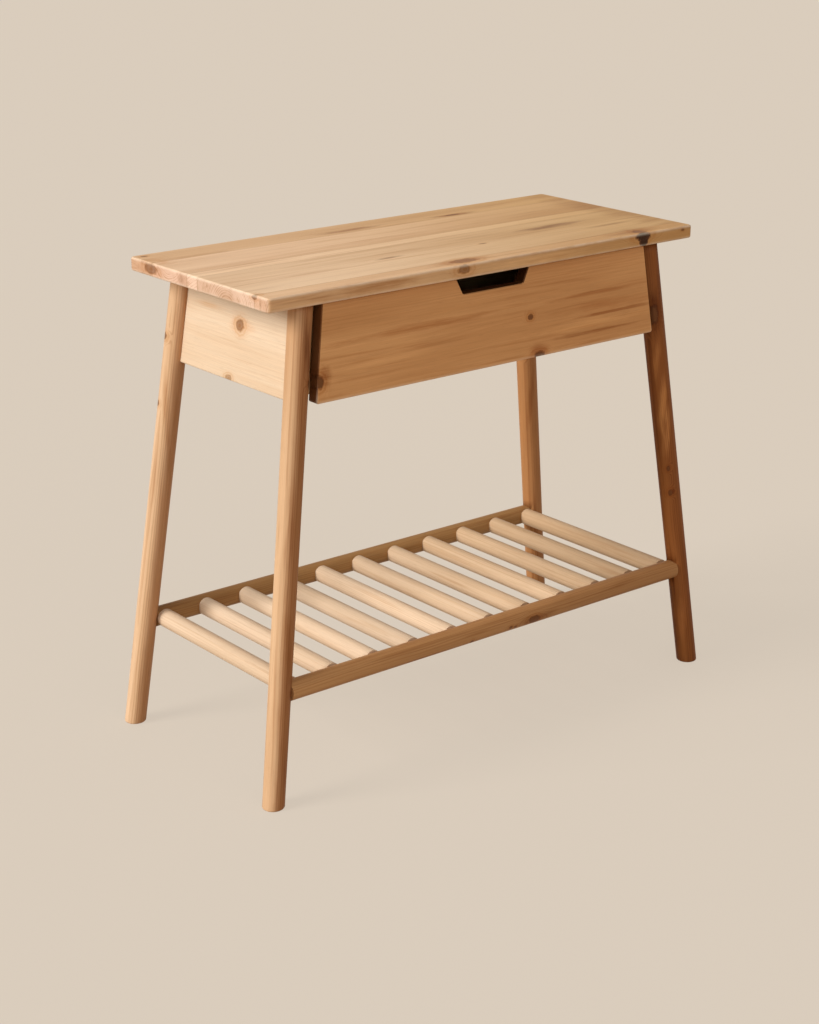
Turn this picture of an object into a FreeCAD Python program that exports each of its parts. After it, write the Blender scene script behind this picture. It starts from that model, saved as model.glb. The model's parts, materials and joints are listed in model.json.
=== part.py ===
import FreeCAD, Part
import math
import os

from FreeCAD import Vector

# A pine telephone table: a glued-up top on four round legs that splay both ways,
# leaning boards between the legs, one drawer and a shelf of round rungs.
# Millimetres. The origin is on the floor under the middle of the table,
# +X runs along the top to the right, the drawer opens towards -Y, +Z is up.

# Top
top_length = 800.0
top_depth = 345.0
top_thickness = 20.0
top_corner_radius = 7.0
top_edge_round = 3.0
table_height = 730.0

# Legs: their axes start inside the edges of the top and stand outside them on the floor
leg_head_inset_x = 73.5
leg_head_inset_y = 28.5
leg_foot_outset_x = 20.0
leg_foot_outset_y = 13.0
leg_foot_diameter = 32.5
leg_head_diameter = 34.5
leg_tenon_diameter = 22.0
leg_tenon_length = 14.0

# Boards between the legs: their outer faces lie on the legs' axes
apron_height = 138.0
apron_thickness = 18.0
apron_seat = 12.0
apron_edge_chamfer = 1.2
apron_mitre_gap = 0.3
apron_dowel_diameter = 8.0
apron_dowel_length = 30.0
apron_dowel_in_leg = 15.0
apron_dowel_from_face = 7.0
apron_dowel_spacing = 70.0
side_dowel_height = 26.0
back_dowel_height = 46.0
top_dowel_length = 26.0
top_dowel_in_top = 12.0
top_dowel_spacing = 200.0

# Shelf
rail_height = 167.0
rail_diameter = 30.0
rail_seat = 13.5
rail_tenon_diameter = 16.0
rail_tenon_length = 14.0
rung_count = 11
rung_diameter = 28.0
rung_seat = 12.8
rung_tenon_diameter = 14.0
rung_tenon_length = 10.0
end_rung_to_leg = 26.5

# Drawer front: it leans with the front legs
front_thickness = 18.0
front_proud = 1.5
front_to_leg_axis = 22.3
front_gap_to_top = 1.5
front_edge_chamfer = 1.2
front_corner_round = 3.5
slot_floor_width = 113.0
slot_depth = 23.5
slot_side_angle = 26.5
slot_floor_round = 4.0
slot_mouth_round = 3.0

# Drawer box
box_gap_to_side_panel = 12.0
box_gap_to_kicker = 2.0
box_side_thickness = 12.0
box_back_thickness = 12.0
box_back_gap_to_top = 10.0
box_back_inset = 3.0
box_bottom_thickness = 5.0
box_bottom_height = 8.0
box_groove_depth = 6.0
front_dowel_diameter = 6.0
front_dowel_length = 24.0
front_dowel_in_front = 11.0
front_dowel_low = 30.0
front_dowel_spacing = 45.0
drawer_travel = 200.0

# Battens that carry and guide the drawer
runner_height = 14.0
runner_above_apron_edge = 2.0
guide_height = 28.0
kicker_height = 22.0
kicker_overlap = 10.0
batten_front_setback = 4.0
batten_back_gap = 3.0
batten_screw_from_end = 35.0
stop_length = 20.0
stop_width = 24.0
stop_height = 18.0

# Screws: countersunk, driven from inside the table
screw_head_per_shank = 2.0
batten_screw_diameter = 4.0
guide_screw_length = 35.0
kicker_screw_length = 32.0
stop_screw_length = 28.0
runner_screw_diameter = 3.0
runner_screw_length = 25.0
runner_screw_shift = 25.0
box_screw_diameter = 3.5
box_screw_length = 30.0
box_screw_spacing = 40.0
bottom_screw_diameter = 3.0
bottom_screw_length = 16.0
bottom_screw_spacing = 220.0

# Clearances
glue_gap = 0.15
hole_bottom_gap = 1.0
seat_gap = 0.3
runner_gap = 0.3
slide_gap = 1.0
stop_gap = 0.5

# Worked out from the sizes above
leg_head_x = top_length / 2 - leg_head_inset_x
leg_head_y = top_depth / 2 - leg_head_inset_y
leg_foot_x = top_length / 2 + leg_foot_outset_x
leg_foot_y = top_depth / 2 + leg_foot_outset_y
top_underside = table_height - top_thickness
apron_low = top_underside - apron_height
splay_x = (leg_foot_x - leg_head_x) / top_underside
splay_y = (leg_foot_y - leg_head_y) / top_underside
leg_taper = (leg_head_diameter - leg_foot_diameter) / 2 / top_underside
side_thickness_level = apron_thickness * math.hypot(1, splay_x)
back_thickness_level = apron_thickness * math.hypot(1, splay_y)
front_thickness_level = front_thickness * math.hypot(1, splay_y)
rail_radius = rail_diameter / 2
rung_radius = rung_diameter / 2
box_outer_x = leg_head_x - side_thickness_level - box_gap_to_side_panel
box_inner_x = box_outer_x - box_side_thickness
runner_low = apron_low + runner_above_apron_edge
runner_top = runner_low + runner_height
kicker_low = top_underside - kicker_height
kicker_x = box_outer_x - kicker_overlap
box_low = runner_top + runner_gap
box_side_top = kicker_low - box_gap_to_kicker
box_back_top = top_underside - box_back_gap_to_top
bottom_low = box_low + box_bottom_height
bottom_top = bottom_low + box_bottom_thickness
guide_x = box_outer_x + slide_gap
X_AXIS = Vector(1, 0, 0)
Y_AXIS = Vector(0, 1, 0)
Z_AXIS = Vector(0, 0, 1)


def leg_axis(z):
    """Point of the back right leg's axis at a height."""
    return Vector(leg_foot_x - splay_x * z, leg_foot_y - splay_y * z, z)


def leg_radius(z):
    return leg_foot_diameter / 2 + leg_taper * z


def side_inner_x(z):
    """Inner face of the right side panel."""
    return leg_axis(z).x - side_thickness_level


def back_inner_y(z):
    """Inner face of the back panel."""
    return leg_axis(z).y - back_thickness_level


def front_face_y(z):
    """Show face of the drawer front, level with the fronts of the front legs."""
    return -(leg_axis(z).y + leg_radius(z) + front_proud)


def front_back_y(z):
    return front_face_y(z) + front_thickness_level


def front_middle_y(z):
    return (front_face_y(z) + front_back_y(z)) / 2


def front_edge_x(z):
    """Right edge of the drawer front, parallel to the leg beside it."""
    return leg_axis(z).x - front_to_leg_axis


def flat_face(corners):
    return Part.Face(Part.makePolygon(corners + corners[:1]))


def leaning_solid(outline, low, high):
    """Solid with flat faces between a level outline at one height and at another."""
    base = [Vector(x, y, low) for x, y in outline(low)]
    crown = [Vector(x, y, high) for x, y in outline(high)]
    faces = [flat_face(base[::-1]), flat_face(crown)]
    for index in range(len(base)):
        after = (index + 1) % len(base)
        faces.append(flat_face([base[index], base[after], crown[after], crown[index]]))
    shell = Part.Shell(faces)
    shell.sewShape()
    return Part.Solid(shell)


def box_between(low, high):
    size = high - low
    return Part.makeBox(size.x, size.y, size.z, low)


def rod(start, end, diameter):
    return Part.makeCylinder(diameter / 2, (end - start).Length, start, end - start)


def edges_at(solid, test):
    """Edges whose middle passes the test."""
    return [edge for edge in solid.Edges if test(edge.CenterOfMass)]


def rounded(solid, radius, test):
    return solid.makeFillet(radius, edges_at(solid, test))


def mirrored_x(solid):
    return solid.mirror(Vector(0, 0, 0), X_AXIS)


def mirrored_y(solid):
    return solid.mirror(Vector(0, 0, 0), Y_AXIS)


def in_place(solid, point, direction):
    """Solid drawn from the origin along +Z, set at a point along a direction."""
    solid = solid.copy()
    solid.Placement = FreeCAD.Placement(point, FreeCAD.Rotation(Z_AXIS, direction))
    return solid


def dowel(middle, direction, length, diameter):
    half = direction * (length / 2)
    return rod(middle - half, middle + half, diameter)


def dowel_hole(middle, direction, length, diameter):
    half = direction * (length / 2 + hole_bottom_gap)
    return rod(middle - half, middle + half, diameter + 2 * glue_gap)


def countersunk_rod(point, direction, length, diameter):
    """Shank with a conical head, the flat of the head at the point."""
    shank = diameter / 2
    head = shank * screw_head_per_shank
    corners = [(0, 0), (head, 0), (shank, head - shank), (shank, length), (0, length)]
    outline = flat_face([Vector(x, 0, z) for x, z in corners])
    return in_place(outline.revolve(Vector(0, 0, 0), Z_AXIS, 360), point, direction)


def screw(point, direction, length, diameter):
    """Countersunk wood screw, its thread left plain."""
    return countersunk_rod(point, direction, length, diameter)


def screw_hole(point, direction, length, diameter):
    """Hole that a screw fills, the same in the piece it holds and the piece it bites."""
    return countersunk_rod(point, direction, length + hole_bottom_gap, diameter + glue_gap)


def spaced(count, spacing):
    """Places on both sides of 0, a spacing apart."""
    return [(index - (count - 1) / 2) * spacing for index in range(count)]


# Places of the dowels and screws, each written once and used by both pieces that it joins.
# They are those of the right and back, and the left ones mirror them.

def side_dowel_places():
    """Dowels in the side panel's back end, along Y."""
    places = []
    for step in (0, 1):
        z = apron_low + side_dowel_height + step * apron_dowel_spacing
        x = leg_axis(z).x - apron_dowel_from_face
        y = leg_axis(z).y - apron_seat + apron_dowel_in_leg - apron_dowel_length / 2
        places.append(Vector(x, y, z))
    return places


def back_dowel_places():
    """Dowels in the back panel's right end, along X."""
    places = []
    for step in (0, 1):
        z = apron_low + back_dowel_height + step * apron_dowel_spacing
        x = leg_axis(z).x - apron_seat + apron_dowel_in_leg - apron_dowel_length / 2
        y = leg_axis(z).y - apron_dowel_from_face
        places.append(Vector(x, y, z))
    return places


def top_dowel_places():
    """Upright dowels between the back panel and the top."""
    y = leg_axis(top_underside).y - back_thickness_level / 2
    z = top_underside + top_dowel_in_top - top_dowel_length / 2
    return [Vector(x, y, z) for x in spaced(3, top_dowel_spacing)]


def front_dowel_places():
    """Dowels from the right drawer side into the drawer front, along Y."""
    places = []
    for step in (0, 1):
        z = box_low + front_dowel_low + step * front_dowel_spacing
        y = front_back_y(z) - front_dowel_in_front + front_dowel_length / 2
        places.append(Vector(box_outer_x - box_side_thickness / 2, y, z))
    return places


def batten_span():
    """Front and rear ends of the battens on the side panels."""
    front = -(leg_axis(top_underside).y - apron_seat - batten_front_setback)
    rear = back_inner_y(top_underside) - batten_back_gap
    return front, rear


def batten_screw_ys():
    front, rear = batten_span()
    return [front + batten_screw_from_end, rear - batten_screw_from_end]


def guide_screw_places():
    z = (runner_top + runner_low + guide_height) / 2
    return [Vector(guide_x, y, z) for y in batten_screw_ys()]


def runner_screw_places():
    """Screws through the runner into the guide, set towards the middle of the guide's own."""
    front_y, rear_y = batten_screw_ys()
    z = runner_low + runner_height / 2
    places = (front_y + runner_screw_shift, rear_y - runner_screw_shift)
    return [Vector(box_inner_x, y, z) for y in places]


def kicker_screw_places():
    x = (kicker_x + side_inner_x(kicker_low)) / 2
    return [Vector(x, y, kicker_low) for y in batten_screw_ys()]


def box_back_y():
    """Front face of the drawer's back board."""
    return box_rear_y() - box_back_inset - box_back_thickness


def box_rear_y():
    """Rear ends of the drawer sides, just clear of the back panel that they close against."""
    return back_inner_y(box_side_top) - stop_gap


def stop_face_y():
    """Face of the stop that the drawer's back board meets when it is pulled out."""
    return box_back_y() - drawer_travel - stop_gap


def stop_screw_place():
    x = kicker_x - stop_width / 2
    return Vector(x, stop_face_y() - stop_length / 2, top_underside - stop_height)


def box_screw_places():
    """Screws through the right drawer side into the drawer back."""
    middle = (bottom_top + box_side_top) / 2
    y = box_back_y() + box_back_thickness / 2
    return [Vector(box_outer_x, y, middle + z) for z in spaced(2, box_screw_spacing)]


def bottom_screw_places():
    """Screws up through the drawer bottom into the drawer back."""
    y = box_back_y() + box_back_thickness / 2
    return [Vector(x, y, bottom_low) for x in spaced(3, bottom_screw_spacing)]


def rung_places():
    """X of each rung's axis, spread evenly between the two rungs beside the legs."""
    end = leg_axis(rail_height).x - end_rung_to_leg
    step = 2 * end / (rung_count - 1)
    return [-end + index * step for index in range(rung_count)]


def rail_y():
    return leg_axis(rail_height).y


def rail_end_x():
    """Plane where the right end of a shelf rail meets its flat seat in the leg."""
    return leg_axis(rail_height).x - rail_seat


def top_panel():
    half = Vector(top_length / 2, top_depth / 2, 0)
    low = -half + Z_AXIS * top_underside
    panel = box_between(low, half + Z_AXIS * table_height)
    middle = (top_underside + table_height) / 2
    panel = rounded(panel, top_corner_radius, lambda p: abs(p.z - middle) < 1)
    panel = rounded(panel, top_edge_round, lambda p: abs(p.z - middle) > top_thickness / 2 - 1)
    head = leg_axis(top_underside)
    direction = (leg_axis(table_height) - head).normalize()
    start = head - direction * top_thickness
    end = head + direction * (leg_tenon_length + hole_bottom_gap)
    socket = rod(start, end, leg_tenon_diameter + 2 * glue_gap)
    cuts = [socket, mirrored_x(socket), mirrored_y(socket), mirrored_x(mirrored_y(socket))]
    for place in top_dowel_places():
        cuts.append(dowel_hole(place, Z_AXIS, top_dowel_length, apron_dowel_diameter))
    for place in kicker_screw_places():
        hole = screw_hole(place, Z_AXIS, kicker_screw_length, batten_screw_diameter)
        cuts += [hole, mirrored_x(hole)]
    hole = screw_hole(stop_screw_place(), Z_AXIS, stop_screw_length, batten_screw_diameter)
    cuts += [hole, mirrored_x(hole)]
    return panel.cut(cuts)


def side_seat_cut():
    """Step cut in a leg for the end of a side panel: one face on the axis, one flat seat."""
    reach = leg_head_diameter

    def outline(z):
        axis = leg_axis(z)
        seat = axis.y - apron_seat
        inner = axis.x - reach
        return [(axis.x, seat), (axis.x, seat - reach), (inner, seat - reach), (inner, seat)]

    return leaning_solid(outline, apron_low, top_underside + 1)


def back_seat_cut():
    """The same step for the end of the back panel."""
    reach = leg_head_diameter

    def outline(z):
        axis = leg_axis(z)
        seat = axis.x - apron_seat
        inner = axis.y - reach
        return [(seat, axis.y), (seat, inner), (seat - reach, inner), (seat - reach, axis.y)]

    return leaning_solid(outline, apron_low, top_underside + 1)


def leg(at_back):
    """Right leg. The front one is drawn at the back and mirrored by the caller."""
    spare = 20.0
    foot = leg_axis(-spare)
    head = leg_axis(top_underside + spare)
    length = (head - foot).Length
    cone = Part.makeCone(leg_radius(foot.z), leg_radius(head.z), length, foot, head - foot)
    room = box_between(Vector(0, 0, 0), Vector(2 * leg_foot_x, 2 * leg_foot_y, top_underside))
    post = cone.common(room)
    direction = (head - foot).normalize()
    top = leg_axis(top_underside)
    tenon = rod(top - direction * spare, top + direction * leg_tenon_length, leg_tenon_diameter)
    post = post.fuse(tenon).removeSplitter()
    cuts = [side_seat_cut()]
    for place in side_dowel_places():
        cuts.append(dowel_hole(place, Y_AXIS, apron_dowel_length, apron_dowel_diameter))
    if at_back:
        cuts.append(back_seat_cut())
        for place in back_dowel_places():
            cuts.append(dowel_hole(place, X_AXIS, apron_dowel_length, apron_dowel_diameter))
    seat = Vector(rail_end_x(), rail_y(), rail_height)
    cuts.append(rod(seat, seat - X_AXIS * leg_head_diameter, rail_diameter + 2 * seat_gap))
    bore_end = seat + X_AXIS * (rail_tenon_length + hole_bottom_gap)
    cuts.append(rod(seat - X_AXIS, bore_end, rail_tenon_diameter + 2 * glue_gap))
    return post.cut(cuts)


def side_panel():
    """Right side panel: seated in both legs, mitred behind the back leg."""

    def outline(z):
        axis = leg_axis(z)
        inner = side_inner_x(z)
        end = axis.y - apron_seat
        mitre_start = axis.x - apron_seat + apron_mitre_gap
        mitre_end = axis.y - side_thickness_level - apron_mitre_gap
        return [(axis.x, -end), (axis.x, end), (mitre_start, end), (inner, mitre_end), (inner, -end)]

    board = leaning_solid(outline, apron_low, top_underside)
    lower_edges = edges_at(board, lambda p: p.z < apron_low + 1 and abs(p.y) < apron_seat)
    board = board.makeChamfer(apron_edge_chamfer, lower_edges)
    cuts = []
    for place in side_dowel_places():
        hole = dowel_hole(place, Y_AXIS, apron_dowel_length, apron_dowel_diameter)
        cuts += [hole, mirrored_y(hole)]
    for place in guide_screw_places():
        cuts.append(screw_hole(place, X_AXIS, guide_screw_length, batten_screw_diameter))
    return board.cut(cuts)


def back_panel():

    def outline(z):
        axis = leg_axis(z)
        inner = back_inner_y(z)
        end = axis.x - apron_seat
        mitre_start = axis.y - apron_seat + apron_mitre_gap
        mitre_end = axis.x - back_thickness_level - apron_mitre_gap
        right = [(mitre_end, inner), (end, mitre_start), (end, axis.y)]
        left = [(-x, y) for x, y in reversed(right)]
        return right + left

    board = leaning_solid(outline, apron_low, top_underside)
    lower_edges = edges_at(board, lambda p: p.z < apron_low + 1 and abs(p.x) < 1)
    board = board.makeChamfer(apron_edge_chamfer, lower_edges)
    cuts = []
    for place in back_dowel_places():
        hole = dowel_hole(place, X_AXIS, apron_dowel_length, apron_dowel_diameter)
        cuts += [hole, mirrored_x(hole)]
    for place in top_dowel_places():
        cuts.append(dowel_hole(place, Z_AXIS, top_dowel_length, apron_dowel_diameter))
    return board.cut(cuts)


def round_bar(start, end, diameter, tenon_diameter, tenon_length):
    """Round bar with square shoulders and a turned tenon at each end."""
    along = (end - start).normalize() * tenon_length
    tenons = rod(start - along, end + along, tenon_diameter)
    return rod(start, end, diameter).fuse(tenons).removeSplitter()


def shelf_rail():
    """Back rail, with a flat seat and a bore for each rung."""
    y = rail_y()
    end = Vector(rail_end_x(), y, rail_height)
    start = Vector(-rail_end_x(), y, rail_height)
    rail = round_bar(start, end, rail_diameter, rail_tenon_diameter, rail_tenon_length)
    cuts = []
    for x in rung_places():
        seat = Vector(x, y - rung_seat, rail_height)
        cuts.append(rod(seat - Y_AXIS * rail_radius, seat, rung_diameter + 2 * seat_gap))
        bore_end = seat + Y_AXIS * (rung_tenon_length + hole_bottom_gap)
        cuts.append(rod(seat - Y_AXIS, bore_end, rung_tenon_diameter + 2 * glue_gap))
    return rail.cut(cuts)


def shelf_rung(x):
    reach = rail_y() - rung_seat
    start = Vector(x, -reach, rail_height)
    end = Vector(x, reach, rail_height)
    return round_bar(start, end, rung_diameter, rung_tenon_diameter, rung_tenon_length)


def finger_slot(front_top):
    """Cutter for the slot: a level floor and sides that open upwards."""
    floor = front_top - slot_depth
    above = 10.0
    flare = math.tan(math.radians(slot_side_angle))
    low_x = slot_floor_width / 2
    high_x = low_x + (slot_depth + above) * flare
    high_z = front_top + above
    y = 2 * front_face_y(floor)
    corners = [(-low_x, floor), (low_x, floor), (high_x, high_z), (-high_x, high_z)]
    cutter = flat_face([Vector(x, y, z) for x, z in corners]).extrude(Y_AXIS * -y)
    return rounded(cutter, slot_floor_round, lambda p: abs(p.z - floor) < 1 and abs(p.x) > 1)


def drawer_front():
    front_top = top_underside - front_gap_to_top

    def outline(z):
        edge = front_edge_x(z)
        face = front_face_y(z)
        back = front_back_y(z)
        return [(-edge, face), (edge, face), (edge, back), (-edge, back)]

    mouth_x = slot_floor_width / 2 + slot_depth * math.tan(math.radians(slot_side_angle))
    lower_corner = Vector(front_edge_x(apron_low), front_middle_y(apron_low), apron_low)
    mouth_corner = Vector(mouth_x, front_middle_y(front_top), front_top)

    def at_lower_corner(p):
        return Vector(abs(p.x), p.y, p.z).distanceToPoint(lower_corner) < 0.5

    def at_mouth(p):
        return Vector(abs(p.x), p.y, p.z).distanceToPoint(mouth_corner) < 0.5

    board = leaning_solid(outline, apron_low, front_top)
    board = rounded(board, front_corner_round, at_lower_corner)
    board = board.cut(finger_slot(front_top))
    board = rounded(board, slot_mouth_round, at_mouth)
    show_face = [face for face in board.Faces if on_show_face(face)][0]
    board = board.makeChamfer(front_edge_chamfer, show_face.OuterWire.Edges)
    groove_y = front_back_y(bottom_low) - box_groove_depth
    low = Vector(-box_inner_x - box_groove_depth, groove_y, bottom_low - glue_gap)
    high = Vector(box_inner_x + box_groove_depth, 0, bottom_top + glue_gap)
    cuts = [box_between(low, high)]
    for place in front_dowel_places():
        hole = dowel_hole(place, Y_AXIS, front_dowel_length, front_dowel_diameter)
        cuts += [hole, mirrored_x(hole)]
    return board.cut(cuts)


def on_show_face(face):
    """Whether a face of the drawer front is the leaning one that faces the user."""
    middle = face.CenterOfMass
    return abs(middle.y - front_face_y(middle.z)) < 0.1


def drawer_side():
    """Right side of the drawer box, its front end cut to the lean of the drawer front."""
    rear = box_rear_y()

    def outline(z):
        front = front_back_y(z)
        return [(box_inner_x, front), (box_outer_x, front), (box_outer_x, rear), (box_inner_x, rear)]

    board = leaning_solid(outline, box_low, box_side_top)
    low = Vector(box_inner_x - 1, front_face_y(box_low), bottom_low - glue_gap)
    high = Vector(box_inner_x + box_groove_depth, rear + 1, bottom_top + glue_gap)
    cuts = [box_between(low, high)]
    for place in front_dowel_places():
        cuts.append(dowel_hole(place, Y_AXIS, front_dowel_length, front_dowel_diameter))
    for place in box_screw_places():
        cuts.append(screw_hole(place, -X_AXIS, box_screw_length, box_screw_diameter))
    return board.cut(cuts)


def drawer_back():
    """Back of the drawer box: it stands on the bottom, higher than the sides, to meet the stops."""
    low = Vector(-box_inner_x, box_back_y(), bottom_top)
    high = Vector(box_inner_x, box_back_y() + box_back_thickness, box_back_top)
    board = box_between(low, high)
    cuts = []
    for place in box_screw_places():
        hole = screw_hole(place, -X_AXIS, box_screw_length, box_screw_diameter)
        cuts += [hole, mirrored_x(hole)]
    for place in bottom_screw_places():
        cuts.append(screw_hole(place, Z_AXIS, bottom_screw_length, bottom_screw_diameter))
    return board.cut(cuts)


def drawer_bottom():
    reach = box_inner_x + box_groove_depth - 2 * glue_gap
    front = front_back_y(bottom_low) - box_groove_depth + 2 * glue_gap
    rear = box_back_y() + box_back_thickness
    panel = box_between(Vector(-reach, front, bottom_low), Vector(reach, rear, bottom_top))
    cuts = []
    for place in bottom_screw_places():
        cuts.append(screw_hole(place, Z_AXIS, bottom_screw_length, bottom_screw_diameter))
    return panel.cut(cuts)


def bevelled_batten(inner_x, low, high):
    """Batten with an upright inner face and an outer face that lies on the right side panel."""
    front, rear = batten_span()

    def outline(z):
        outer = side_inner_x(z)
        return [(inner_x, front), (outer, front), (outer, rear), (inner_x, rear)]

    return leaning_solid(outline, low, high)


def drawer_guide():
    batten = bevelled_batten(guide_x, runner_low, runner_low + guide_height)
    cuts = []
    for place in guide_screw_places():
        cuts.append(screw_hole(place, X_AXIS, guide_screw_length, batten_screw_diameter))
    for place in runner_screw_places():
        cuts.append(screw_hole(place, X_AXIS, runner_screw_length, runner_screw_diameter))
    return batten.cut(cuts)


def drawer_runner():
    front, rear = batten_span()
    lath = box_between(Vector(box_inner_x, front, runner_low), Vector(guide_x, rear, runner_top))
    cuts = []
    for place in runner_screw_places():
        cuts.append(screw_hole(place, X_AXIS, runner_screw_length, runner_screw_diameter))
    return lath.cut(cuts)


def drawer_kicker():
    batten = bevelled_batten(kicker_x, kicker_low, top_underside)
    cuts = []
    for place in kicker_screw_places():
        cuts.append(screw_hole(place, Z_AXIS, kicker_screw_length, batten_screw_diameter))
    return batten.cut(cuts)


def drawer_stop():
    low = Vector(kicker_x - stop_width, stop_face_y() - stop_length, top_underside - stop_height)
    block = box_between(low, Vector(kicker_x, stop_face_y(), top_underside))
    return block.cut(screw_hole(stop_screw_place(), Z_AXIS, stop_screw_length, batten_screw_diameter))


def screws(places, direction, length, diameter):
    return [screw(place, direction, length, diameter) for place in places]


def dowels(places, direction, length, diameter):
    return [dowel(place, direction, length, diameter) for place in places]


def build():
    """Every piece of the table by the name of its node."""
    parts = {"top_panel": top_panel(), "back_panel": back_panel()}
    back_leg = leg(at_back=True)
    front_leg = mirrored_y(leg(at_back=False))
    parts["leg_back_right"] = back_leg
    parts["leg_back_left"] = mirrored_x(back_leg)
    parts["leg_front_right"] = front_leg
    parts["leg_front_left"] = mirrored_x(front_leg)
    rail = shelf_rail()
    parts["shelf_rail_back"] = rail
    parts["shelf_rail_front"] = mirrored_y(rail)
    for number, x in enumerate(rung_places(), start=1):
        parts[f"shelf_rung_{number:02d}"] = shelf_rung(x)
    parts["drawer_front"] = drawer_front()
    parts["drawer_back"] = drawer_back()
    parts["drawer_bottom"] = drawer_bottom()

    side_pegs = dowels(side_dowel_places(), Y_AXIS, apron_dowel_length, apron_dowel_diameter)
    side_pegs += [mirrored_y(peg) for peg in side_pegs]
    front_pegs = dowels(front_dowel_places(), Y_AXIS, front_dowel_length, front_dowel_diameter)
    pairs = {
        "side_panel": side_panel(),
        "drawer_side": drawer_side(),
        "drawer_guide": drawer_guide(),
        "drawer_runner": drawer_runner(),
        "drawer_kicker": drawer_kicker(),
        "drawer_stop": drawer_stop(),
        "side_panel_dowels": Part.makeCompound(side_pegs),
        "drawer_front_dowels": Part.makeCompound(front_pegs),
        "guide_screws": Part.makeCompound(
            screws(guide_screw_places(), X_AXIS, guide_screw_length, batten_screw_diameter)),
        "runner_screws": Part.makeCompound(
            screws(runner_screw_places(), X_AXIS, runner_screw_length, runner_screw_diameter)),
        "kicker_screws": Part.makeCompound(
            screws(kicker_screw_places(), Z_AXIS, kicker_screw_length, batten_screw_diameter)),
        "drawer_back_screws": Part.makeCompound(
            screws(box_screw_places(), -X_AXIS, box_screw_length, box_screw_diameter)),
        "stop_screw": screw(stop_screw_place(), Z_AXIS, stop_screw_length, batten_screw_diameter),
    }
    for name, shape in pairs.items():
        parts[name + "_right"] = shape
        parts[name + "_left"] = mirrored_x(shape)

    back_pegs = dowels(back_dowel_places(), X_AXIS, apron_dowel_length, apron_dowel_diameter)
    back_pegs += [mirrored_x(peg) for peg in back_pegs]
    parts["back_panel_dowels"] = Part.makeCompound(back_pegs)
    top_pegs = dowels(top_dowel_places(), Z_AXIS, top_dowel_length, apron_dowel_diameter)
    parts["back_panel_top_dowels"] = Part.makeCompound(top_pegs)
    bottom_screws = screws(bottom_screw_places(), Z_AXIS, bottom_screw_length, bottom_screw_diameter)
    parts["drawer_bottom_screws"] = Part.makeCompound(bottom_screws)
    return parts


os.makedirs("parts", exist_ok=True)
for name, shape in build().items():
    shape.exportStep(f"parts/{name}.step")
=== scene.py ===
import json
import math

import bmesh
import bpy
from mathutils import Euler, Matrix, Vector


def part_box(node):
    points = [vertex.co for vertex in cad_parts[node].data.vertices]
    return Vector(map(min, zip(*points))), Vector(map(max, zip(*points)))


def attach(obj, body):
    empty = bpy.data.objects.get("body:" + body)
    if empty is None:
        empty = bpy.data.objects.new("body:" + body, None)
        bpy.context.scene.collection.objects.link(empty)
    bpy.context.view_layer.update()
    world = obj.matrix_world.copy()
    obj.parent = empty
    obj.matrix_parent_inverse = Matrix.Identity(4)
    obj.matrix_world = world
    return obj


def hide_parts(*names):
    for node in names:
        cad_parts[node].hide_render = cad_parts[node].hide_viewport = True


# A pine telephone table. Metres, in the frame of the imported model: +X to the right
# along the top, -Y towards the person who opens the drawer, +Z up, floor at 0.

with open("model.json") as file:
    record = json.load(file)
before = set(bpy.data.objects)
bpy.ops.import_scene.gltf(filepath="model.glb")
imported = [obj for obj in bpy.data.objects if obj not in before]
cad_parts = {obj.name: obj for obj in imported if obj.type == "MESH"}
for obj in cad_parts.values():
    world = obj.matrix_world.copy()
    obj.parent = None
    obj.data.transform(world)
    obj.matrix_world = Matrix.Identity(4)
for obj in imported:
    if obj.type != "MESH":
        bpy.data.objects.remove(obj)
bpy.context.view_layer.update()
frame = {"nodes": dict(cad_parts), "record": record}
nodes = frame["nodes"]

# Camera, from the straight edges of the photographed table
camera_place = Vector((-1.863, -2.283, 1.331))
camera_turn = math.radians(-38.87)
camera_dip = math.radians(19.27)
camera_lens = 70.35
camera_sensor = 36.0
camera_reach = 100.0

# Light: a low soft key from the left and a little behind, a weak fill from the front
key_direction = Vector((0.86, -0.20, -0.47))
key_strength = 2.9
key_softness = math.radians(28)
key_colour = (1.0, 0.975, 0.94)
fill_direction = Vector((0.25, 0.85, -0.45))
fill_strength = 0.75
fill_softness = math.radians(60)
fill_colour = (1.0, 0.98, 0.96)
sky_colour = (1.0, 0.985, 0.96)
sky_strength = 0.36

# Floor: a share of it is lit and carries the shadow, the rest is as even as the backdrop
backdrop_colour = (0.701, 0.610, 0.509)
lit_floor_share = 0.24
floor_paleness = 0.75
light_on_floor = 0.90
floor_reach = 40.0

# Sizes read from the frame
top_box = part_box("top_panel")
front_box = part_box("drawer_front")
rail_low, rail_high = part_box("shelf_rail_back")
rail_axis_height = (rail_low.z + rail_high.z) / 2
rung_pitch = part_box("shelf_rung_02")[0].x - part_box("shelf_rung_01")[0].x
top_underside = top_box[0].z

# The back right leg's axis: where it stands on the floor and where it meets the top
leg_foot = Vector((0.420, 0.1855, 0.0))
leg_head = Vector((0.3265, 0.144, top_underside))

# Rounding of the feet and sanding of the inner boards
foot_round = 0.0028
board_arris = 0.0006
shortest_arris = 0.012
sanded_angle = math.radians(60)

# Screws. The cross recess is measured in head radii and the point in shank radii.
screw_sides = 24
thread_pitch = 0.0018
recess_reach = 0.56
recess_half_width = 0.13
recess_depth = 0.55
recess_floor = 0.6
neck_share = 0.25
thread_root = 0.78
thread_way_in = 0.45
point_radii_long = 1.6
point_end = 0.15
fewest_turns = 3

# Tolerances of the mesh work
merge_distance = 0.00001
floor_tolerance = 0.00005
end_tolerance = 0.0002
flat_foot_angle = math.radians(1)
flat_board_angle = math.radians(0.5)
sharp_angle = math.radians(35)
sorting_way = Vector((1.0, 0.37, 0.113))


# Small helpers for shader trees

def plug(tree, socket, value):
    """Joins a socket to another node's output, or sets it to a plain value."""
    if isinstance(value, bpy.types.NodeSocket):
        tree.links.new(value, socket)
    else:
        socket.default_value = value


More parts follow.
